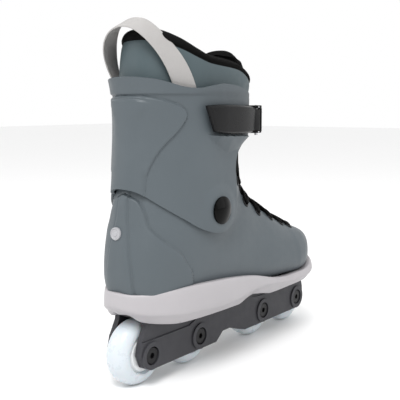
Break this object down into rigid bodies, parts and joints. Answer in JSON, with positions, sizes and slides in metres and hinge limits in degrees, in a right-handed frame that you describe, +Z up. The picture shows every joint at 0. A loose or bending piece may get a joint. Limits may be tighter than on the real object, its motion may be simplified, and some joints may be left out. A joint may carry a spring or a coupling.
{
  "type": "inline skate",
  "caption": "Hard-boot inline skate with a hinged cuff, buckle lever, laced soft liner, pull loop and a grooved frame holding small white wheels in line.",
  "frame": {"origin": "on the ground, in the frame's mid-plane, halfway between the first and the last axle", "axes": "+X towards the toe, +Y towards the inner (left) side of this right skate, +Z up"},
  "size_m": [0.3076, 0.1147, 0.3228],
  "materials": {
    "shell_plastic": "satin moulded slate-grey plastic with a fine grain",
    "sole_plastic": "satin moulded light grey plastic",
    "frame_plastic": "matt dark grey glass-filled plastic",
    "wheel_urethane": "cast white urethane with a cool tint",
    "hub_plastic": "white moulded core",
    "steel": "plain machined steel",
    "aluminium": "turned aluminium",
    "black_steel": "black oxide steel",
    "black_cap": "polished black cap",
    "buckle_plastic": "black moulded nylon",
    "lever_plastic": "satin black moulded nylon",
    "liner_fabric": "slate-grey coated fabric over foam",
    "tongue_fabric": "black mesh fabric over foam",
    "footbed_foam": "dark foam with a knitted top",
    "lace_cord": "black woven flat lace",
    "loop_webbing": "light grey woven webbing"
  },
  "bodies": {
    "boot": {"frame": "frame_plastic", "frame_bolts": "black_steel", "frame_nuts": "steel", "boot_shell": "shell_plastic", "sole_plate": "sole_plastic", "sole_screws": "black_steel", "liner_boot": "liner_fabric", "footbed": "footbed_foam", "tongue_lower": "tongue_fabric", "laces": "lace_cord", "cuff_bolt_right": "black_cap", "cuff_bolt_left": "black_cap", "cuff_nut_right": "steel", "cuff_nut_left": "steel", "axle_1": "black_steel", "axle_2": "black_steel", "axle_3": "black_steel", "axle_4": "black_steel", "axle_screw_1": "black_steel", "axle_screw_2": "black_steel", "axle_screw_3": "black_steel", "axle_screw_4": "black_steel"},
    "cuff": {"cuff_shell": "shell_plastic", "liner_collar": "liner_fabric", "tongue_upper": "tongue_fabric", "pull_loop": "loop_webbing", "pull_loop_rivets": "steel", "buckle_base": "buckle_plastic", "lever_pin": "steel", "buckle_rivets": "steel", "ladder_strap": "buckle_plastic", "strap_anchor_screw": "black_steel"},
    "buckle_lever": {"buckle_lever": "lever_plastic"},
    "wheel_1": {"tyre_1": "wheel_urethane", "hub_1": "hub_plastic", "bearings_1": "steel", "bearing_spacer_1": "aluminium"},
    "wheel_2": {"tyre_2": "wheel_urethane", "hub_2": "hub_plastic", "bearings_2": "steel", "bearing_spacer_2": "aluminium"},
    "wheel_3": {"tyre_3": "wheel_urethane", "hub_3": "hub_plastic", "bearings_3": "steel", "bearing_spacer_3": "aluminium"},
    "wheel_4": {"tyre_4": "wheel_urethane", "hub_4": "hub_plastic", "bearings_4": "steel", "bearing_spacer_4": "aluminium"}
  },
  "joints": [
    {"name": "cuff_flex", "type": "hinge", "parent": "boot", "child": "cuff", "pos_m": [-0.064, 0, 0.154], "axis": [0, 1, 0], "range_deg": [-2, 10]},
    {"name": "lever_open", "type": "hinge", "parent": "cuff", "child": "buckle_lever", "pos_m": [-0.006, -0.05, 0.233], "axis": [0, 0, 1], "range_deg": [0, 95]},
    {"name": "wheel_1_spin", "type": "hinge", "parent": "boot", "child": "wheel_1", "pos_m": [0.1243, 0, 0.0295], "axis": [0, 1, 0], "continuous": true},
    {"name": "wheel_2_spin", "type": "hinge", "parent": "boot", "child": "wheel_2", "pos_m": [0.055, 0, 0.0295], "axis": [0, 1, 0], "continuous": true},
    {"name": "wheel_3_spin", "type": "hinge", "parent": "boot", "child": "wheel_3", "pos_m": [-0.055, 0, 0.0295], "axis": [0, 1, 0], "continuous": true},
    {"name": "wheel_4_spin", "type": "hinge", "parent": "boot", "child": "wheel_4", "pos_m": [-0.1243, 0, 0.0295], "axis": [0, 1, 0], "continuous": true}
  ]
}
